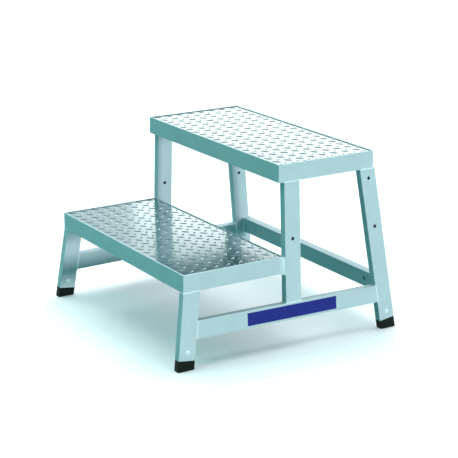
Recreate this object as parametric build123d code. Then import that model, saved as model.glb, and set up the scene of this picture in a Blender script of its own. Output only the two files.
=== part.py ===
from build123d import *
from math import atan2, degrees, radians, tan
import os

os.makedirs("parts", exist_ok=True)

# Two-step stool, welded from aluminium tube with raised-lug tread plates.
# Millimetres and degrees. +X is the user's right, -Y the front, +Z up, and the floor is z = 0.

# Platforms: two of the same design, the lower one in front
total_height = 470.0
step_height = 237.0
platform_width = 640.0
platform_depth = 285.5
platform_corner_chamfer = 1.5

# Edge profile of the platforms: a hollow section with a rim that stands round the plate
profile_height = 45.0
profile_width = 20.0
profile_wall = 2.0
profile_edge_chamfer = 0.8
rim_width = 3.0
rim_height = 2.0

# Tread plate and its raised lugs, which lie at 45 degrees, turned by 90 degrees from one to the next
plate_thickness = 3.0
plate_clearance = 0.5
lug_pitch = 34.4
lug_length = 25.0
lug_width = 7.6
lug_height = 1.5
lug_root_depth = 1.0
pattern_shift_x = 5.0
pattern_shift_y = 13.5

# Rectangular tube of the legs, rails and brace
tube_width = 45.0
tube_thickness = 20.0
tube_wall = 2.0
tube_edge_chamfer = 0.8

# Legs: front ones lean forwards, rear ones backwards, and both splay outwards
leg_lean = 7.6
leg_splay = 4.4
mid_leg_setback = 16.0
rear_leg_overhang = 4.5

# Heights of the top edges of the side rails and of the rear brace
rail_top = 119.0
brace_top = 135.5

# Bolt holes through the tubes: how far below the top frame, above the lower tread and from the brace's ends
bolt_hole_diameter = 9.0
rear_leg_hole_drops = (25.0, 151.0)
mid_leg_hole_rise = 43.5
brace_hole_inset = 62.0

# Plug feet and the rivets that hold them
foot_height = 25.0
foot_corner_chamfer = 1.0
foot_sole_chamfer = 1.2
spigot_length = 40.0
spigot_clearance = 0.25
rivet_above_shoulder = 20.0
rivet_shank_diameter = 5.0
rivet_clearance = 0.1
rivet_head_diameter = 13.0
rivet_head_height = 4.0
rivet_crown_diameter = 7.0

# Plain label on the right rail's outer face
label_length = 260.0
label_height = 33.0
label_thickness = 0.3
label_from_rail_end = 138.0

# Spare length that is trimmed off where tubes are cut to fit
trim_spare = 80.0

# Levels and places that follow from the sizes above
top_underside = total_height - profile_height
step_underside = step_height - profile_height
half_width = platform_width / 2
rear_leg_hole_heights = [top_underside - drop for drop in rear_leg_hole_drops]
mid_leg_hole_height = step_height + mid_leg_hole_rise
rivet_height = foot_height + rivet_above_shoulder
rivet_hole_diameter = rivet_shank_diameter + 2 * rivet_clearance
lean_slope = tan(radians(leg_lean))
splay_slope = tan(radians(leg_splay))
front_foot_reach = step_underside * lean_slope
rear_foot_reach = top_underside * lean_slope
# Depth from the front feet's front edge to the rear feet's rear edge, which the origin halves
whole_depth = (front_foot_reach + platform_depth - mid_leg_setback + platform_depth
               + rear_leg_overhang + rear_foot_reach)
step_front = front_foot_reach - whole_depth / 2
step_rear = step_front + platform_depth
top_front = step_rear - mid_leg_setback
top_rear = top_front + platform_depth


def on_right(shape):
    """The shape as it is, for the right-hand side."""
    return shape


def on_left(shape):
    """The shape's mirror image, for the left-hand side."""
    return mirror(shape, about=Plane.YZ)


sides = {"right": on_right, "left": on_left}


def save(shape, name):
    shape.label = name
    export_step(shape, f"parts/{name}.step")


# Platforms

def edge_profile():
    """Section of the edge profile: y runs inwards from the outer face, z up from the underside."""
    ledge = profile_height - rim_height - plate_thickness
    with BuildSketch(Plane.YZ) as section:
        with BuildLine():
            Polyline((0, 0), (0, profile_height), (rim_width, profile_height), (rim_width, ledge),
                     (profile_width, ledge), (profile_width, 0), close=True)
        make_face()
        outer_corners = section.vertices().group_by(Axis.X)[0]
        chamfer(outer_corners, profile_edge_chamfer)
        with Locations((profile_width / 2, ledge / 2)):
            Rectangle(profile_width - 2 * profile_wall, ledge - 2 * profile_wall, mode=Mode.SUBTRACT)
    return section.sketch


def edge_member(length):
    """Mitred length of edge profile along X, centred, with its outer face on y = 0 and facing -Y."""
    bar = extrude(edge_profile(), length / 2, both=True)
    half = length / 2
    mitre = Polyline((-half, 0), (half, 0), (half - profile_width, profile_width),
                     (profile_width - half, profile_width), close=True)
    return bar & extrude(make_face(mitre), profile_height)


def lug():
    """One raised lug along X: a diamond that rises to a crest, with a root that sinks into the plate."""
    tip = lug_length / 2
    side = lug_width / 2
    outline = [(tip, 0), (0, side), (-tip, 0), (0, -side)]
    brim = [Vector(x, y, 0) for x, y in outline]
    root = [Vector(x, y, -lug_root_depth) for x, y in outline]
    crest = Vector(0, 0, lug_height)
    slopes = [(brim[i - 1], brim[i], crest) for i in range(len(outline))]
    walls = [(root[i - 1], root[i], brim[i], brim[i - 1]) for i in range(len(outline))]
    faces = [Face(Wire.make_polygon(corners, close=True)) for corners in (*slopes, *walls, root)]
    return Solid(Shell(faces))


def tread_plate():
    """Plate with its top face on z = 0, and lugs that are cut where they run past its edge."""
    length = platform_width - 2 * (rim_width + plate_clearance)
    depth = platform_depth - 2 * (rim_width + plate_clearance)
    plate = Box(length, depth, plate_thickness, align=(Align.CENTER, Align.CENTER, Align.MAX))
    reach = Box(length, depth, 2 * (lug_height + lug_root_depth))
    one = lug()
    lugs = []
    columns = int(length / lug_pitch) + 1
    rows = int(depth / lug_pitch) + 1
    for column in range(-columns, columns + 1):
        for row in range(-rows, rows + 1):
            for shift, turn in ((0.0, 45), (0.5, -45)):
                x = pattern_shift_x + (column + shift) * lug_pitch
                y = pattern_shift_y + (row + shift) * lug_pitch
                if abs(x) > length / 2 or abs(y) > depth / 2:
                    continue
                placed = Location((x, y, 0), (0, 0, turn)) * one
                whole = abs(x) < (length - lug_length) / 2 and abs(y) < (depth - lug_length) / 2
                lugs.append(placed if whole else placed & reach)
    return plate.fuse(*lugs)


def platform():
    """The five pieces of a platform, with its top on z = 0 and its middle on the Z axis."""
    corners = Rectangle(platform_width, platform_depth).vertices()
    outline = extrude(chamfer(corners, platform_corner_chamfer), -profile_height)
    across = edge_member(platform_width)
    along = edge_member(platform_depth)
    members = {
        "front": Pos(0, -platform_depth / 2, -profile_height) * across,
        "rear": Pos(0, platform_depth / 2, -profile_height) * Rot(0, 0, 180) * across,
        "right": Pos(half_width, 0, -profile_height) * Rot(0, 0, 90) * along,
        "left": Pos(-half_width, 0, -profile_height) * Rot(0, 0, -90) * along,
    }
    pieces = {f"frame_{name}": member & outline for name, member in members.items()}
    pieces["tread_plate"] = Pos(0, 0, -rim_height) * tread_plate()
    return pieces


def make_platforms():
    pieces = platform()
    places = {"top": (top_front, total_height), "step": (step_front, step_height)}
    for prefix, (front, height) in places.items():
        for name, piece in pieces.items():
            save(Pos(0, front + platform_depth / 2, height) * piece, f"{prefix}_{name}")


# Tubes

def tube_section(plane):
    """Hollow section on a plane: its width along the plane's x, its thickness along y."""
    outside = chamfer(Rectangle(tube_width, tube_thickness).vertices(), tube_edge_chamfer)
    inside = Rectangle(tube_width - 2 * tube_wall, tube_thickness - 2 * tube_wall)
    return plane * (outside - inside)


class Leg:
    """Right-hand leg tube, set out from one long edge of its outer face at the level where it is cut off."""

    def __init__(self, corner, splay, lean, edge_is_front):
        self.outward = Vector(1, 0, splay).normalized()
        self.up = Vector(-splay, lean, 1).normalized()
        self.rearward = self.up.cross(self.outward)
        self.top = corner.Z
        towards_middle = self.rearward if edge_is_front else -self.rearward
        self.axis_point = corner - self.outward * (tube_thickness / 2) + towards_middle * (tube_width / 2)

    def centre(self, height):
        """Point of the tube's axis at a height."""
        return self.axis_point + self.up * ((height - self.axis_point.Z) / self.up.Z)

    def edge(self, height, outer, front):
        """Point of one of the tube's four long edges at a height."""
        across = self.outward * (tube_thickness / 2 if outer else -tube_thickness / 2)
        along = self.rearward * (-tube_width / 2 if front else tube_width / 2)
        start = self.axis_point + across + along
        return start + self.up * ((height - start.Z) / self.up.Z)

    def section_plane(self, height):
        """Plane square to the axis: x rearward, y inward, z up the leg."""
        return Plane(self.centre(height), x_dir=self.rearward, z_dir=self.up)

    def hole(self, height, diameter):
        """Drill through both walls, square to the outer face."""
        start = Plane(self.centre(height) - self.outward * tube_thickness, z_dir=self.outward)
        return extrude(start * Circle(diameter / 2), 2 * tube_thickness)

    def tube(self, low, hole_heights=()):
        """Tube from a plane square to its axis at the low height up to its level top cut."""
        rise = (self.top - low) / self.up.Z + trim_spare
        body = extrude(tube_section(self.section_plane(low)), rise)
        body = split(body, Plane((0, 0, self.top)), keep=Keep.BOTTOM)
        for height in hole_heights:
            body -= self.hole(height, bolt_hole_diameter)
        return body


front_leg = Leg(Vector(half_width, step_front, step_underside), splay_slope, lean_slope, True)
rear_leg = Leg(Vector(half_width, top_rear + rear_leg_overhang, top_underside), splay_slope, -lean_slope, False)

# The rail's upper outer edge runs from one leg's outer face to the other's, so it toes outwards to the rear
rail_start = front_leg.edge(rail_top, outer=True, front=False)
rail_end = rear_leg.edge(rail_top, outer=True, front=True)
rail_along = (rail_end - rail_start).normalized()
rail_outward = Vector(splay_slope, 0, -1).cross(rail_along).normalized()
rail_outward = rail_outward if rail_outward.X > 0 else -rail_outward
rail_up = rail_outward.cross(rail_along)

# The mid legs splay so that they land flush on the rail
mid_leg_middle = step_rear + tube_width / 2
rail_share = (mid_leg_middle - rail_start.Y) / (rail_end.Y - rail_start.Y)
mid_leg_landing = rail_start.X + rail_share * (rail_end.X - rail_start.X)
mid_leg_splay = (mid_leg_landing - half_width) / (top_underside - rail_top)
mid_leg = Leg(Vector(half_width, step_rear, top_underside), mid_leg_splay, 0.0, True)

# The brace leans with the rear legs, its rear face flush with their inner rear edges
brace_rearward = Vector(0, 1, lean_slope).normalized()
brace_up = Vector(0, -lean_slope, 1).normalized()
brace_corner = rear_leg.edge(brace_top, outer=False, front=False)
brace_middle = (Vector(0, brace_corner.Y, brace_corner.Z) - brace_rearward * (tube_thickness / 2)
                - brace_up * (tube_width / 2))
brace_hole_reach = brace_corner.X - brace_hole_inset


def make_legs():
    for name, leg, holes in (("front_leg", front_leg, ()), ("rear_leg", rear_leg, rear_leg_hole_heights)):
        tube = leg.tube(foot_height, holes) - leg.hole(rivet_height, rivet_hole_diameter)
        for side, placed in sides.items():
            save(placed(tube), f"{name}_{side}")
    tube = mid_leg.tube(rail_top - trim_spare, (mid_leg_hole_height,))
    tube = split(tube, Plane(rail_start, z_dir=rail_up), keep=Keep.TOP)
    for side, placed in sides.items():
        save(placed(tube), f"mid_leg_{side}")


def make_rails():
    middle = rail_start - rail_outward * (tube_thickness / 2) - rail_up * (tube_width / 2)
    start = Plane(middle - rail_along * trim_spare, x_dir=rail_up, z_dir=rail_along)
    rail = extrude(tube_section(start), (rail_end - rail_start).length + 2 * trim_spare)
    front_end = Plane(front_leg.edge(rail_top, outer=True, front=False), z_dir=front_leg.rearward)
    rear_end = Plane(rear_leg.edge(rail_top, outer=True, front=True), z_dir=rear_leg.rearward)
    rail = split(rail, front_end, keep=Keep.TOP)
    rail = split(rail, rear_end, keep=Keep.BOTTOM)
    for side, placed in sides.items():
        save(placed(rail), f"side_rail_{side}")


def make_brace():
    """Tube between the rear legs, leaning with them, cut off at their inner faces."""
    section = tube_section(Plane(brace_middle, x_dir=brace_up, z_dir=(1, 0, 0)))
    half_brace = split(extrude(section, half_width + trim_spare), Plane(brace_corner, z_dir=rear_leg.outward),
                       keep=Keep.BOTTOM)
    at_hole = Plane(brace_middle + Vector(brace_hole_reach, 0, 0) - brace_rearward * tube_thickness,
                    z_dir=brace_rearward)
    half_brace -= extrude(at_hole * Circle(bolt_hole_diameter / 2), 2 * tube_thickness)
    save(half_brace + on_left(half_brace), "rear_brace")


# Feet and rivets

def foot(leg):
    """Plug foot: a block that carries the tube's outline down to a level sole, and a spigot up inside the tube."""
    shoulder = leg.section_plane(foot_height)
    outline = shoulder * chamfer(Rectangle(tube_width, tube_thickness).vertices(), foot_corner_chamfer)
    block = split(extrude(outline, -foot_height - trim_spare), Plane.XY, keep=Keep.TOP)
    sole = block.faces().sort_by(Axis.Z)[0]
    block = chamfer(sole.edges(), foot_sole_chamfer)
    inner_width = tube_width - 2 * (tube_wall + spigot_clearance)
    inner_thickness = tube_thickness - 2 * (tube_wall + spigot_clearance)
    spigot = extrude(shoulder * Rectangle(inner_width, inner_thickness), spigot_length)
    return block + spigot - leg.hole(rivet_height, rivet_hole_diameter)


def rivet(leg):
    """Through rivet with a raised, tapering head seated on each face of the tube."""
    centre = leg.centre(rivet_height)
    seat = leg.outward * (tube_thickness / 2)
    shank = extrude(Plane(centre - seat, z_dir=leg.outward) * Circle(rivet_shank_diameter / 2), tube_thickness)
    taper = degrees(atan2((rivet_head_diameter - rivet_crown_diameter) / 2, rivet_head_height))
    head = Circle(rivet_head_diameter / 2)
    outer = extrude(Plane(centre + seat, z_dir=leg.outward) * head, rivet_head_height, taper=taper)
    inner = extrude(Plane(centre - seat, z_dir=-leg.outward) * head, rivet_head_height, taper=taper)
    return outer + shank + inner


def make_feet():
    rivets = []
    for name, leg in (("front", front_leg), ("rear", rear_leg)):
        plug = foot(leg)
        fastener = rivet(leg)
        for side, placed in sides.items():
            save(placed(plug), f"foot_{name}_{side}")
            rivets.append(placed(fastener))
    save(Compound(children=rivets), "foot_rivets")


def make_label():
    """Thin plain sheet on the right rail's outer face, half way up it."""
    along = label_from_rail_end + label_length / 2
    centre = rail_start + rail_along * along - rail_up * (tube_width / 2)
    face = Plane(centre, x_dir=rail_along, z_dir=rail_outward)
    save(extrude(face * Rectangle(label_length, label_height), label_thickness), "rail_label")


make_platforms()
make_legs()
make_rails()
make_brace()
make_feet()
make_label()
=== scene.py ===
import math

import bmesh
import bpy
from mathutils import Matrix, Vector
from mathutils.geometry import convex_hull_2d


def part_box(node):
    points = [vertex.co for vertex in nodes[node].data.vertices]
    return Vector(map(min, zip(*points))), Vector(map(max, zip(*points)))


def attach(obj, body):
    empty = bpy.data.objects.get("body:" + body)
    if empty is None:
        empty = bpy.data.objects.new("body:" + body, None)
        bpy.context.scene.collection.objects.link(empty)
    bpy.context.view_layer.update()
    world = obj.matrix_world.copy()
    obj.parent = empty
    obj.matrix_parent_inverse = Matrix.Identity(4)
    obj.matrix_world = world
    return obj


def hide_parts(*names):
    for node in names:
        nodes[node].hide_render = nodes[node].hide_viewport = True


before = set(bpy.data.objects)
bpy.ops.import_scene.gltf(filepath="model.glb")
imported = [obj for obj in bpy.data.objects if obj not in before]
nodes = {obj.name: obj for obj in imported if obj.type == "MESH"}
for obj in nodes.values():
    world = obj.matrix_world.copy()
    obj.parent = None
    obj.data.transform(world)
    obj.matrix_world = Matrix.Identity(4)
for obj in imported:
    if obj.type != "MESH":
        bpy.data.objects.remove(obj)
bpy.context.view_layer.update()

# Two-step stool: finishes, rolled treads, welds, rivets and feet around the CAD frame. Metres and degrees.

# Camera, fitted to the edges of the stool in the picture
IMAGE_PIXELS = 458
FOCAL_PIXELS = 1493.48
SENSOR_WIDTH = 36.0
CAMERA_PLACE = (3.21283, -1.98066, 1.35624)
CAMERA_YAW = 57.93
CAMERA_PITCH = -16.692
CAMERA_REACH = 300

# Rolled lugs of the treads
LUG_PITCH = 0.0344
LUG_LENGTH = 0.025
LUG_WIDTH = 0.0076
LUG_HEIGHT = 0.0015
LUG_SINK = 0.0003
LUG_STATIONS = 14
LUG_COLUMNS = 8
LUG_END_POWER = 3
LUG_SIDE_POWER = 1.2
LUG_TURN = 45
PATTERN_SHIFT = (0.005, 0.0135)

# Welds
BEAD_RADIUS = 0.0026
BEAD_INSET = 0.00098
BEAD_NARROWEST = 0.62
BEAD_RIPPLE = 0.0048
BEAD_RIPPLE_STEPS = 6
BEAD_SIDES = 10
END_FACING = 0.9
END_TILT = 0.012
FILLET_REACH = 0.010
FILLET_BULGE = 0.0012
FILLET_NARROWEST = 0.3
FILLET_SIDES = 8
FRONT_FACE_DEPTH = 0.002

# Rivet domes and rounded feet
DOME_RINGS = 10
DOME_SEGMENTS = 36
RIVET_RIM = 0.9
FOOT_ROUNDING = 0.0007
FOOT_SEGMENTS = 3
FOOT_FLAT_ANGLE = 1
FOOT_EDGE_ANGLE = 20

# Meshes: points that count as one, and the angle up to which faces shade smoothly
MERGE_DISTANCE = 1e-6
SMOOTH_ANGLE = 35
WELD_SMOOTH_ANGLE = 60
DOME_SMOOTH_ANGLE = 50

# Colours, linear
ALUMINIUM = (0.46, 0.58, 0.62, 1)
ALUMINIUM_SHADE = (0.43, 0.54, 0.58, 1)
# Paler colour on the satin tube edges: partly wear, partly a painted edge highlight
ALUMINIUM_EDGE_WEAR_AND_HIGHLIGHT = (0.66, 0.78, 0.80, 1)
PLATE = (0.50, 0.59, 0.61, 1)
PLATE_SHADE = (0.45, 0.55, 0.57, 1)
PLATE_CREST = (0.60, 0.67, 0.69, 1)
WELD = (0.82, 0.90, 0.91, 1)
WELD_SHADE = (0.58, 0.72, 0.75, 1)
RUBBER = (0.003, 0.006, 0.005, 1)
RUBBER_DUST = (0.007, 0.011, 0.010, 1)
NAVY = (0.014, 0.021, 0.215, 1)
NAVY_SHADE = (0.010, 0.016, 0.180, 1)
NAVY_RUBBED = (0.10, 0.12, 0.32, 1)

# Finishes: stretches of the noise that colour and roughness follow, and the roughness from low to high
MOTTLE_LOW = 0.35
MOTTLE_HIGH = 0.65
CLOUD_HIGH = 0.68
GRAIN_LOW = 0.3
GRAIN_HIGH = 0.7
EDGE_FLAT = 0.999
EDGE_SHARP = 0.93
BEVEL_SAMPLES = 4
SATIN_ROUGHNESS = (0.44, 0.54)
PLATE_ROUGHNESS = (0.10, 0.16)
WELD_ROUGHNESS = (0.32, 0.5)
RIVET_ROUGHNESS = (0.34, 0.46)
RUBBER_ROUGHNESS = (0.55, 0.75)
FILM_ROUGHNESS = (0.32, 0.42)

# Studio: what the eye and reflections see, and the light that is scattered
FLOOR_REACH = 60.0
FLOOR_DROP = 0.0003
FLOOR_WHITE = (0.77, 0.82, 0.86, 1)
FLOOR_LIFT = 0.16
FLOOR_BOUNCE = (0.09, 0.34, 0.32, 1)
LIGHT_TARGET = (0, 0, 0.3)
OVERHEAD_PLACE = (-1.2, 1.0, 4.0)
OVERHEAD_POWER = 4.0
OVERHEAD_SPREAD = 75
SIDE_PLACE = (14.0, 1.1, 0.5)
SIDE_SIZE = (0.8, 1.4)
SIDE_POWER = 1720
FRONT_PLACE = (-0.3, -2.6, 3.0)
FRONT_SIZE = (2.0, 2.0)
FRONT_POWER = 36
FRONT_COLOUR = (0.25, 1.0, 0.88)
BACK_PLACE = (-3.3, 3.55, 0.95)
BACK_SIZE = (3.7, 1.6)
BACK_POWER = 20
SKY_WHITE = (1.0, 1.0, 1.0, 1)
SKY_OVERHEAD = (0.30, 0.48, 0.50, 1)
SKY_DIM = (0.74, 0.90, 0.92, 1)
SKY_FILL = (0.06, 0.16, 0.15, 1)
SKY_BACK_FROM = 0.40
SKY_BACK_TO = 0.58
SKY_TOP_FROM = 0.55
SKY_TOP_TO = 0.8


# Node trees

class Nodes:
    """A node tree with short calls for the nodes that the finishes and the studio share."""

    def __init__(self, tree):
        self.tree = tree

    def add(self, kind, inputs=None, **settings):
        """A new node with its settings, and inputs by name or number."""
        node = self.tree.nodes.new(kind)
        for key, value in settings.items():
            setattr(node, key, value)
        for key, value in (inputs or {}).items():
            self.feed(node.inputs[key], value)
        return node

    def feed(self, socket, value):
        """Link another node's output to a socket, or set a constant on it."""
        if isinstance(value, bpy.types.NodeSocket):
            self.tree.links.new(value, socket)
        else:
            socket.default_value = value

    def spread(self, value, low, high, to_low, to_high):
        """The value's stretch from low to high, mapped and clamped to another stretch."""
        return self.add("ShaderNodeMapRange", {0: value, 1: low, 2: high, 3: to_low, 4: to_high}).outputs[0]

    def mix(self, share, first, second):
        return self.add("ShaderNodeMix", {0: share, 6: first, 7: second}, data_type="RGBA").outputs[2]

    def math(self, operation, first, second):
        return self.add("ShaderNodeMath", {0: first, 1: second}, operation=operation).outputs[0]

    def seen(self):
        """1 for camera rays and 0 for others, and the same for reflections and clear materials."""
        path = self.add("ShaderNodeLightPath").outputs
        mirrored = self.math("MAXIMUM", path["Is Glossy Ray"], path["Is Transmission Ray"])
        return path["Is Camera Ray"], mirrored


class Finish(Nodes):
    """A material's node tree, with its texture coordinates and its surface shader."""

    def __init__(self, name):
        self.material = bpy.data.materials.new(name)
        self.material.use_nodes = True
        super().__init__(self.material.node_tree)
        self.shader = self.tree.nodes["Principled BSDF"]
        self.place = self.add("ShaderNodeTexCoord").outputs["Object"]

    def surface(self, inputs):
        for key, value in inputs.items():
            self.feed(self.shader.inputs[key], value)
        return self.material

    def along(self, direction, stretch):
        """Coordinates whose third axis runs along a direction and is drawn out along it."""
        turn = Vector(direction).to_track_quat("Z", "Y").to_euler()
        inputs = {"Vector": self.place, "Rotation": turn, "Scale": (1, 1, stretch)}
        return self.add("ShaderNodeMapping", inputs, vector_type="TEXTURE").outputs[0]

    def noise(self, scale, detail, roughness, vector=None):
        inputs = {"Vector": vector or self.place, "Scale": scale, "Detail": detail, "Roughness": roughness}
        return self.add("ShaderNodeTexNoise", inputs).outputs[0]

    def soft_normal(self, radius):
        """The surface normal, rounded over the object's edges."""
        return self.add("ShaderNodeBevel", {"Radius": radius}, samples=BEVEL_SAMPLES).outputs[0]

    def tone(self, noise, shade, light, high=MOTTLE_HIGH):
        """A colour that drifts between two tones with the noise."""
        return self.mix(self.spread(noise, MOTTLE_LOW, high, 0, 1), shade, light)

    def roughness(self, noise, stretch):
        """Roughness that follows the noise over a stretch."""
        return self.spread(noise, GRAIN_LOW, GRAIN_HIGH, *stretch)

    def edges(self, radius):
        """Near 1 on the object's convex and concave edges, 0 on its flats."""
        soft = self.soft_normal(radius)
        true = self.add("ShaderNodeNewGeometry").outputs["Normal"]
        dot = self.add("ShaderNodeVectorMath", {0: soft, 1: true}, operation="DOT_PRODUCT").outputs["Value"]
        return self.spread(dot, EDGE_FLAT, EDGE_SHARP, 0.0, 1.0)

    def bump(self, height, distance, strength=1.0, normal=None):
        inputs = {"Height": height, "Distance": distance, "Strength": strength}
        if normal:
            inputs["Normal"] = normal
        return self.add("ShaderNodeBump", inputs).outputs[0]


# Finishes

def satin_aluminium(name, direction):
    """Satin aluminium drawn along a direction: fine streaks, cloudy tone, and paler edges that are partly
    wear and partly a painted edge highlight.
    """
    finish = Finish(name)
    streaks = finish.noise(900, 3, 0.6, finish.along(direction, 60))
    clouds = finish.noise(14, 5, 0.6)
    specks = finish.noise(420, 2, 0.5)
    tone = finish.tone(clouds, ALUMINIUM_SHADE, ALUMINIUM, CLOUD_HIGH)
    # Paler edges, broken up by fine specks: partly wear, partly a painted edge highlight
    lightened = finish.math("MULTIPLY", finish.edges(0.0012), finish.spread(specks, 0.35, 0.6, 0.35, 0.9))
    colour = finish.mix(lightened, tone, ALUMINIUM_EDGE_WEAR_AND_HIGHLIGHT)
    grain = finish.bump(streaks, 0.00003, 0.7, finish.soft_normal(0.0006))
    return finish.surface({
        "Base Color": colour, "Specular IOR Level": 0.12, "Normal": grain,
        "Roughness": finish.roughness(streaks, SATIN_ROUGHNESS),
    })


def tread_aluminium():
    """Bright rolled plate: mill streaks, fine scratches and lugs whose crests are paler from wear."""
    finish = Finish("bright_tread_plate")
    rise = finish.add("ShaderNodeAttribute", attribute_name="lug_rise").outputs["Fac"]
    streaks = finish.noise(700, 3, 0.6, finish.along((1, 0, 0), 40))
    clouds = finish.noise(9, 4, 0.55)
    scratches = finish.noise(1500, 2, 0.5, finish.along((0.6, 0.8, 0), 25))
    tone = finish.tone(clouds, PLATE_SHADE, PLATE)
    lightened = finish.spread(rise, 0.75, 1.0, 0, 0.6)
    colour = finish.mix(lightened, tone, PLATE_CREST)
    grain = finish.bump(finish.math("ADD", streaks, scratches), 0.00001, 0.5)
    return finish.surface({
        "Base Color": colour, "Metallic": 1.0, "Normal": grain,
        "Roughness": finish.roughness(streaks, PLATE_ROUGHNESS),
    })


def weld_metal():
    """Cast-looking weld metal, paler than the tubes, with a soft oxide mottle."""
    finish = Finish("weld_metal")
    mottle = finish.noise(300, 4, 0.6)
    colour = finish.tone(mottle, WELD_SHADE, WELD)
    return finish.surface({
        "Base Color": colour, "Metallic": 0.1, "Roughness": finish.roughness(mottle, WELD_ROUGHNESS),
        "Normal": finish.bump(finish.noise(1200, 3, 0.6), 0.00006),
    })


def rivet_aluminium():
    """Smooth pressed rivet heads with a faint mottle."""
    finish = Finish("rivet_aluminium")
    mottle = finish.noise(260, 4, 0.6)
    colour = finish.tone(mottle, WELD_SHADE, WELD)
    return finish.surface({
        "Base Color": colour, "Metallic": 0.15, "Roughness": finish.roughness(mottle, RIVET_ROUGHNESS),
        "Normal": finish.bump(finish.noise(1600, 2, 0.5), 0.00002),
    })


def black_rubber():
    """Moulded black rubber: fine texture, dusty towards the sole and on the edges."""
    finish = Finish("black_rubber")
    height = finish.add("ShaderNodeSeparateXYZ", {0: finish.place}).outputs["Z"]
    dust = finish.math("MULTIPLY", finish.spread(height, 0.0, 0.008, 0.9, 0.15), finish.noise(180, 5, 0.65))
    rubbed = finish.math("MULTIPLY", finish.edges(0.001), 0.2)
    colour = finish.mix(finish.math("ADD", dust, rubbed), RUBBER, RUBBER_DUST)
    return finish.surface({
        "Base Color": colour, "Specular IOR Level": 0.15,
        "Roughness": finish.spread(dust, 0.1, 0.6, *RUBBER_ROUGHNESS),
        "Normal": finish.bump(finish.noise(1400, 3, 0.6), 0.00008, 0.6),
    })


def navy_film():
    """Plain printed film: even navy with slight mottle, rubbed edges and a soft gloss."""
    finish = Finish("navy_label")
    mottle = finish.noise(60, 4, 0.6)
    rubbed = finish.math("MULTIPLY", finish.edges(0.0006), 0.25)
    tone = finish.tone(mottle, NAVY_SHADE, NAVY)
    colour = finish.mix(rubbed, tone, NAVY_RUBBED)
    return finish.surface({
        "Base Color": colour, "Specular IOR Level": 0.2,
        "Roughness": finish.roughness(mottle, FILM_ROUGHNESS),
        "Normal": finish.bump(finish.noise(500, 3, 0.5), 0.00002, 0.5),
    })


# Pieces

def new_piece(name, vertices, faces, material, smooth_angle):
    """A piece from its points and faces."""
    mesh = bpy.data.meshes.new(name)
    mesh.from_pydata(vertices, [], faces)
    return place_mesh(name, mesh, material, smooth_angle)


def place_mesh(name, mesh, material, smooth_angle=SMOOTH_ANGLE):
    """A finished mesh as a piece that rides on the stool."""
    solid = bmesh.new()
    solid.from_mesh(mesh)
    bmesh.ops.recalc_face_normals(solid, faces=solid.faces)
    solid.to_mesh(mesh)
    solid.free()
    mesh.polygons.foreach_set("use_smooth", [True] * len(mesh.polygons))
    mesh.set_sharp_from_angle(angle=math.radians(smooth_angle))
    mesh.materials.clear()
    mesh.materials.append(material)
    piece = bpy.data.objects.new(name, mesh)
    bpy.context.scene.collection.objects.link(piece)
    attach(piece, "root")
    return piece


def finish_node(node, material):
    """Give a CAD node its finish."""
    node.data.materials.clear()
    node.data.materials.append(material)


def lug_shape():
    """One rolled lug along X: a pointed oval with a rounded crest, closed below the plate's surface."""
    vertices = [Vector((-LUG_LENGTH / 2, 0, -LUG_SINK))]
    for station in range(1, LUG_STATIONS):
        share = -math.cos(math.pi * station / LUG_STATIONS)
        half_width = LUG_WIDTH / 2 * (1 - share ** 2)
        crest = (LUG_HEIGHT + LUG_SINK) * (1 - abs(share) ** LUG_END_POWER)
        for column in range(LUG_COLUMNS + 1):
            across = 2 * column / LUG_COLUMNS - 1
            height = crest * (1 - across ** 2) ** LUG_SIDE_POWER - LUG_SINK
            vertices.append(Vector((share * LUG_LENGTH / 2, across * half_width, height)))
    vertices.append(Vector((LUG_LENGTH / 2, 0, -LUG_SINK)))
    last = len(vertices) - 1
    row = LUG_COLUMNS + 1
    faces = []
    for column in range(LUG_COLUMNS):
        faces.append((0, 1 + column, 2 + column))
        end = last - row + column
        faces.append((end + 1, end, last))
    for station in range(LUG_STATIONS - 2):
        for column in range(LUG_COLUMNS):
            start = 1 + station * row + column
            faces.append((start, start + row, start + row + 1, start + 1))
    near = [1 + station * row for station in range(LUG_STATIONS - 1)]
    far = [start + LUG_COLUMNS for start in near]
    faces.append((0, *far, last, *reversed(near)))
    return vertices, faces


def cut_to_plate(mesh, low, high):
    """Cut a lug off at the plate's edges and close the cuts."""
    solid = bmesh.new()
    solid.from_mesh(mesh)
    for corner, sign in ((low, -1), (high, 1)):
        for axis in (Vector((sign, 0, 0)), Vector((0, sign, 0))):
            whole = [*solid.verts, *solid.edges, *solid.faces]
            bmesh.ops.bisect_plane(solid, geom=whole, dist=MERGE_DISTANCE, plane_co=corner,
                                   plane_no=axis, clear_outer=True)
            rims = [edge for edge in solid.edges if edge.is_boundary]
            bmesh.ops.holes_fill(solid, edges=rims)
    solid.to_mesh(mesh)
    solid.free()


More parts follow.
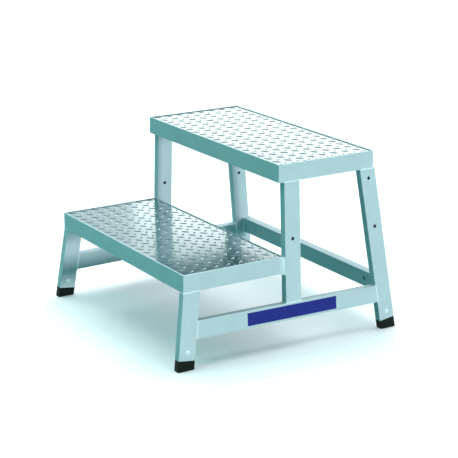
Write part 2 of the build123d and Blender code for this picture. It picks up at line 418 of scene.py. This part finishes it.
def tread(node, material):
    """The rolled plate of one platform, with its lugs cut off at the plate's edges."""
    low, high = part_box(node)
    surface = high.z - LUG_HEIGHT
    middle = (low + high) / 2
    size = high - low
    solid = bmesh.new()
    bmesh.ops.create_cube(solid, size=1.0)
    bmesh.ops.scale(solid, vec=(size.x, size.y, surface - low.z), verts=solid.verts)
    bmesh.ops.translate(solid, vec=(middle.x, middle.y, (surface + low.z) / 2), verts=solid.verts)
    vertices, faces = lug_shape()
    columns = int(size.x / LUG_PITCH) + 1
    rows = int(size.y / LUG_PITCH) + 1
    for column in range(-columns, columns + 1):
        for row in range(-rows, rows + 1):
            for shift, turn in ((0.0, LUG_TURN), (0.5, -LUG_TURN)):
                x = PATTERN_SHIFT[0] + (column + shift) * LUG_PITCH
                y = PATTERN_SHIFT[1] + (row + shift) * LUG_PITCH
                if abs(x) > size.x / 2 or abs(y) > size.y / 2:
                    continue
                spot = Matrix.Translation((middle.x + x, middle.y + y, surface))
                spot = spot @ Matrix.Rotation(math.radians(turn), 4, "Z")
                lug = bpy.data.meshes.new("lug")
                lug.from_pydata([spot @ vertex for vertex in vertices], [], faces)
                whole = abs(x) < (size.x - LUG_LENGTH) / 2 and abs(y) < (size.y - LUG_LENGTH) / 2
                if not whole:
                    cut_to_plate(lug, low, high)
                solid.from_mesh(lug)
                bpy.data.meshes.remove(lug)
    mesh = bpy.data.meshes.new(node)
    solid.to_mesh(mesh)
    solid.free()
    piece = place_mesh(f"rolled_{node}", mesh, material)
    rise = mesh.attributes.new("lug_rise", "FLOAT", "POINT")
    rise.data.foreach_set("value", [max(0.0, (v.co.z - surface) / LUG_HEIGHT) for v in mesh.vertices])
    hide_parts(node)


def end_ring(node, direction):
    """Corners of a tube's cut end that faces a direction, in order, and the end's outward normal."""
    mesh = nodes[node].data
    towards = Vector(direction)
    facing = [face for face in mesh.polygons if face.normal.dot(towards) > END_FACING]
    limit = max(face.center.dot(towards) for face in facing) - END_TILT
    ends = [face for face in facing if face.center.dot(towards) > limit]
    normal = ends[0].normal.copy()
    points = [mesh.vertices[i].co.copy() for face in ends for i in face.vertices]
    middle = sum(points, Vector()) / len(points)
    side = normal.orthogonal().normalized()
    other = normal.cross(side)
    flat = [((point - middle).dot(side), (point - middle).dot(other)) for point in points]
    return [points[i] for i in convex_hull_2d(flat)], normal


def walk(corners, step):
    """Evenly spaced points round a closed outline."""
    legs = list(zip(corners, corners[1:] + corners[:1]))
    lengths = [(b - a).length for a, b in legs]
    count = round(sum(lengths) / step)
    points = []
    for index in range(count):
        left = sum(lengths) * index / count
        for (a, b), length in zip(legs, lengths):
            if left <= length:
                points.append(a.lerp(b, left / length))
                break
            left -= length
    return points


def bead(name, corners, normal, material):
    """A weld bead round a tube's end, which swells and narrows once for each ripple."""
    middle = sum(corners, Vector()) / len(corners)
    path = []
    for corner in corners:
        inwards = middle - corner
        path.append(corner + inwards.normalized() * min(BEAD_INSET, inwards.length))
    points = walk(path, BEAD_RIPPLE / BEAD_RIPPLE_STEPS)
    vertices, faces = [], []
    count = len(points)
    for index, point in enumerate(points):
        run = (points[(index + 1) % count] - points[index - 1]).normalized()
        across = run.cross(normal).normalized()
        phase = math.pi * index / BEAD_RIPPLE_STEPS
        swell = BEAD_NARROWEST + (1 - BEAD_NARROWEST) * abs(math.sin(phase))
        radius = BEAD_RADIUS * swell
        for side in range(BEAD_SIDES):
            turn = 2 * math.pi * side / BEAD_SIDES
            vertices.append(point + (across * math.cos(turn) + normal * math.sin(turn)) * radius)
    for index in range(count):
        here = index * BEAD_SIDES
        there = (index + 1) % count * BEAD_SIDES
        for side in range(BEAD_SIDES):
            after = (side + 1) % BEAD_SIDES
            faces.append((here + side, there + side, there + after, here + after))
    new_piece(name, vertices, faces, material, WELD_SMOOTH_ANGLE)


def fillet(side, material):
    """Rippled weld in the corner between the step's side face and the mid leg's front face."""
    low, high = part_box(f"step_frame_{side}")
    mesh = nodes[f"mid_leg_{side}"].data
    front = [vertex.co for vertex in mesh.vertices if vertex.co.y < high.y + FRONT_FACE_DEPTH]
    foot = max(front, key=lambda co: abs(co.x))
    head = max(front, key=lambda co: co.z)
    face = high.x if side == "right" else low.x
    outwards = 1 if side == "right" else -1
    steps = round((high.z - low.z) / BEAD_RIPPLE * BEAD_RIPPLE_STEPS)
    vertices, faces = [], []
    for step in range(steps + 1):
        height = low.z + (high.z - low.z) * step / steps
        reach = foot.x + (head.x - foot.x) * (height - foot.z) / (head.z - foot.z)
        start = Vector((face, high.y - FILLET_REACH, height))
        end = Vector((reach, high.y, height))
        out = Vector((outwards * (end.y - start.y), -abs(end.x - start.x), 0)).normalized()
        ripple = abs(math.sin(math.pi * step / BEAD_RIPPLE_STEPS))
        swell = FILLET_BULGE * (FILLET_NARROWEST + (1 - FILLET_NARROWEST) * ripple)
        for point in range(FILLET_SIDES + 1):
            share = point / FILLET_SIDES
            vertices.append(start.lerp(end, share) + out * swell * math.sin(math.pi * share))
        vertices.append(Vector((face, high.y, height)))
    row = FILLET_SIDES + 2
    for step in range(steps):
        for point in range(row):
            after = (point + 1) % row
            here = step * row
            faces.append((here + point, here + after, here + row + after, here + row + point))
    faces.append(tuple(range(row)))
    faces.append(tuple(range(steps * row, (steps + 1) * row)))
    new_piece(f"weld_step_{side}", vertices, faces, material, WELD_SMOOTH_ANGLE)


def dome(centre, axis, radius, height):
    """Domed rivet head: a cap of a sphere, closed at its seat."""
    side = axis.orthogonal().normalized()
    other = axis.cross(side)
    sphere = (radius ** 2 + height ** 2) / (2 * height)
    widest = math.asin(radius / sphere)
    vertices = [centre + axis * height]
    faces = []
    for ring in range(1, DOME_RINGS + 1):
        angle = widest * ring / DOME_RINGS
        level = sphere * math.cos(angle) - sphere + height
        for segment in range(DOME_SEGMENTS):
            turn = 2 * math.pi * segment / DOME_SEGMENTS
            out = (side * math.cos(turn) + other * math.sin(turn)) * sphere * math.sin(angle)
            vertices.append(centre + axis * level + out)
    for segment in range(DOME_SEGMENTS):
        after = (segment + 1) % DOME_SEGMENTS
        faces.append((0, 1 + segment, 1 + after))
        for ring in range(DOME_RINGS - 1):
            inner = 1 + ring * DOME_SEGMENTS
            outer = inner + DOME_SEGMENTS
            faces.append((inner + segment, outer + segment, outer + after, inner + after))
    rim = 1 + (DOME_RINGS - 1) * DOME_SEGMENTS
    faces.append(tuple(range(rim, rim + DOME_SEGMENTS)))
    return vertices, faces


def islands(node):
    """Groups of vertices of the separate solids in a node."""
    solid = bmesh.new()
    solid.from_mesh(nodes[node].data)
    bmesh.ops.remove_doubles(solid, verts=solid.verts, dist=MERGE_DISTANCE)
    left = set(solid.verts)
    groups = []
    while left:
        stack = [left.pop()]
        group = []
        while stack:
            vertex = stack.pop()
            group.append(vertex.co.copy())
            for edge in vertex.link_edges:
                neighbour = edge.other_vert(vertex)
                if neighbour in left:
                    left.remove(neighbour)
                    stack.append(neighbour)
        groups.append(group)
    solid.free()
    return groups


def rivet_heads(material):
    """Two domed heads for each through rivet, seated on the tube's faces."""
    vertices, faces = [], []
    for group in islands("foot_rivets"):
        middle = sum(group, Vector()) / len(group)
        right = max(group, key=lambda point: point.x)
        left = min(group, key=lambda point: point.x)
        outer = [point for point in group if (point - middle).dot(right - left) > 0]
        end = sum(outer, Vector()) / len(outer) - middle
        axis = end.normalized()
        reach = max((point - middle).dot(axis) for point in group)
        radius = max(((point - middle) - axis * (point - middle).dot(axis)).length for point in group)
        seat = min((point - middle).dot(axis) for point in outer
                   if ((point - middle) - axis * (point - middle).dot(axis)).length > RIVET_RIM * radius)
        for way in (1, -1):
            more, polygons = dome(middle + axis * seat * way, axis * way, radius, reach - seat)
            start = len(vertices)
            vertices += more
            faces += [tuple(start + i for i in polygon) for polygon in polygons]
    piece = new_piece("domed_rivets", vertices, faces, material, DOME_SMOOTH_ANGLE)
    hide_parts("foot_rivets")


def rounded_foot(node, material):
    """The plug foot with its moulded edges rounded off."""
    solid = bmesh.new()
    solid.from_mesh(nodes[node].data)
    bmesh.ops.remove_doubles(solid, verts=solid.verts, dist=MERGE_DISTANCE)
    flat = math.radians(FOOT_FLAT_ANGLE)
    bmesh.ops.dissolve_limit(solid, angle_limit=flat, verts=solid.verts, edges=solid.edges)
    least = math.radians(FOOT_EDGE_ANGLE)
    sharp = [edge for edge in solid.edges if edge.calc_face_angle(0) > least]
    bmesh.ops.bevel(solid, geom=sharp, offset=FOOT_ROUNDING, segments=FOOT_SEGMENTS, profile=0.5,
                    affect="EDGES", clamp_overlap=True)
    mesh = bpy.data.meshes.new(node)
    solid.to_mesh(mesh)
    solid.free()
    piece = place_mesh(f"moulded_{node}", mesh, material)
    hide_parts(node)


def dress():
    """Give each CAD node its finish and add the pieces that the eye sees on it."""
    across = satin_aluminium("satin_aluminium_across", (1, 0, 0))
    lengthwise = satin_aluminium("satin_aluminium_lengthwise", (0, 1, 0))
    upright = satin_aluminium("satin_aluminium_upright", (0, 0, 1))
    for name, node in nodes.items():
        if "frame_front" in name or "frame_rear" in name or name == "rear_brace":
            finish = across
        elif "frame" in name or "rail" in name:
            finish = lengthwise
        else:
            finish = upright
        finish_node(node, finish)
    finish_node(nodes["rail_label"], navy_film())

    plate = tread_aluminium()
    for level in ("top", "step"):
        tread(f"{level}_tread_plate", plate)
    rivet_heads(rivet_aluminium())
    rubber = black_rubber()
    weld = weld_metal()
    for side in ("left", "right"):
        for end in ("front", "rear"):
            rounded_foot(f"foot_{end}_{side}", rubber)
        joints = {
            f"front_leg_{side}": [(0, 0, 1)],
            f"mid_leg_{side}": [(0, 0, 1), (0, 0, -1)],
            f"rear_leg_{side}": [(0, 0, 1)],
            f"side_rail_{side}": [(0, -1, 0), (0, 1, 0)],
        }
        for node, directions in joints.items():
            for number, direction in enumerate(directions):
                corners, normal = end_ring(node, direction)
                bead(f"weld_{node}_{number}", corners, normal, weld)
        fillet(side, weld)
    for side, direction in (("left", (-1, 0, 0)), ("right", (1, 0, 0))):
        corners, normal = end_ring("rear_brace", direction)
        bead(f"weld_rear_brace_{side}", corners, normal, weld)


# Studio

def floor_material():
    """White to the eye and in reflections, and a pale teal bounce onto the stool."""
    material = bpy.data.materials.new("studio_floor")
    material.use_nodes = True
    material.node_tree.nodes.clear()
    floor = Nodes(material.node_tree)
    bounce = floor.add("ShaderNodeBsdfDiffuse", {"Color": FLOOR_BOUNCE}).outputs[0]
    white = floor.add("ShaderNodeBsdfDiffuse", {"Color": FLOOR_WHITE}).outputs[0]
    lift = floor.add("ShaderNodeEmission", {"Strength": FLOOR_LIFT}).outputs[0]
    bright = floor.add("ShaderNodeAddShader", {0: white, 1: lift}).outputs[0]
    either = floor.math("MAXIMUM", *floor.seen())
    choice = floor.add("ShaderNodeMixShader", {0: either, 1: bounce, 2: bright}).outputs[0]
    floor.add("ShaderNodeOutputMaterial", {"Surface": choice})
    return material


def studio_world():
    """White to the eye; in reflections white behind and dimmer in front and overhead; a dim teal fill."""
    world = bpy.data.worlds.new("studio")
    world.use_nodes = True
    room = Nodes(world.node_tree)
    direction = room.add("ShaderNodeTexCoord").outputs["Generated"]
    place = room.add("ShaderNodeSeparateXYZ", {0: direction}).outputs
    camera, mirrored = room.seen()
    backdrop = room.mix(room.spread(place["Y"], SKY_BACK_FROM, SKY_BACK_TO, 0, 1), SKY_DIM, SKY_WHITE)
    upwards = room.spread(place["Z"], SKY_TOP_FROM, SKY_TOP_TO, 0, 1)
    mirror_view = room.mix(upwards, backdrop, SKY_OVERHEAD)
    colour = room.mix(camera, room.mix(mirrored, SKY_FILL, mirror_view), SKY_WHITE)
    room.feed(world.node_tree.nodes["Background"].inputs["Color"], colour)
    return world


def aim(lamp, place, target):
    """Hang a lamp at a place and turn it to a target."""
    holder = bpy.data.objects.new(lamp.name, lamp)
    holder.location = place
    holder.rotation_euler = (Vector(target) - Vector(place)).to_track_quat("-Z", "Y").to_euler()
    bpy.context.scene.collection.objects.link(holder)
    return holder


def lamps():
    """Soft light from overhead, a key at the right, a fill in front, and a box mirrored in the treads."""
    overhead = bpy.data.lights.new("overhead", "SUN")
    overhead.energy = OVERHEAD_POWER
    overhead.angle = math.radians(OVERHEAD_SPREAD)
    aim(overhead, OVERHEAD_PLACE, (0, 0, 0)).visible_glossy = False
    soft_boxes = (
        ("right_key", SIDE_PLACE, SIDE_SIZE, SIDE_POWER, (1, 1, 1), False),
        ("front_fill", FRONT_PLACE, FRONT_SIZE, FRONT_POWER, FRONT_COLOUR, False),
        ("back_box", BACK_PLACE, BACK_SIZE, BACK_POWER, (1, 1, 1), True),
    )
    for name, place, size, power, colour, mirrored in soft_boxes:
        lamp = bpy.data.lights.new(name, "AREA")
        lamp.shape = "RECTANGLE"
        lamp.size, lamp.size_y = size
        lamp.energy = power
        lamp.color = colour
        box = aim(lamp, place, LIGHT_TARGET)
        box.visible_camera = False
        box.visible_glossy = mirrored


def studio():
    """The plain floor, the light and the camera."""
    scene = bpy.context.scene
    scene.view_settings.view_transform = "Standard"
    mesh = bpy.data.meshes.new("studio_floor")
    corners = [(x * FLOOR_REACH, y * FLOOR_REACH, -FLOOR_DROP)
               for x, y in ((-1, -1), (1, -1), (1, 1), (-1, 1))]
    mesh.from_pydata(corners, [], [(0, 1, 2, 3)])
    mesh.materials.append(floor_material())
    floor = bpy.data.objects.new("studio_floor", mesh)
    scene.collection.objects.link(floor)

    scene.world = studio_world()
    lamps()

    lens = bpy.data.cameras.new("camera")
    lens.sensor_width = SENSOR_WIDTH
    lens.lens = SENSOR_WIDTH * FOCAL_PIXELS / IMAGE_PIXELS
    lens.clip_end = CAMERA_REACH
    camera = bpy.data.objects.new("camera", lens)
    camera.location = CAMERA_PLACE
    camera.rotation_euler = (math.radians(90 + CAMERA_PITCH), 0, math.radians(CAMERA_YAW))
    scene.collection.objects.link(camera)
    scene.camera = camera


dress()
studio()
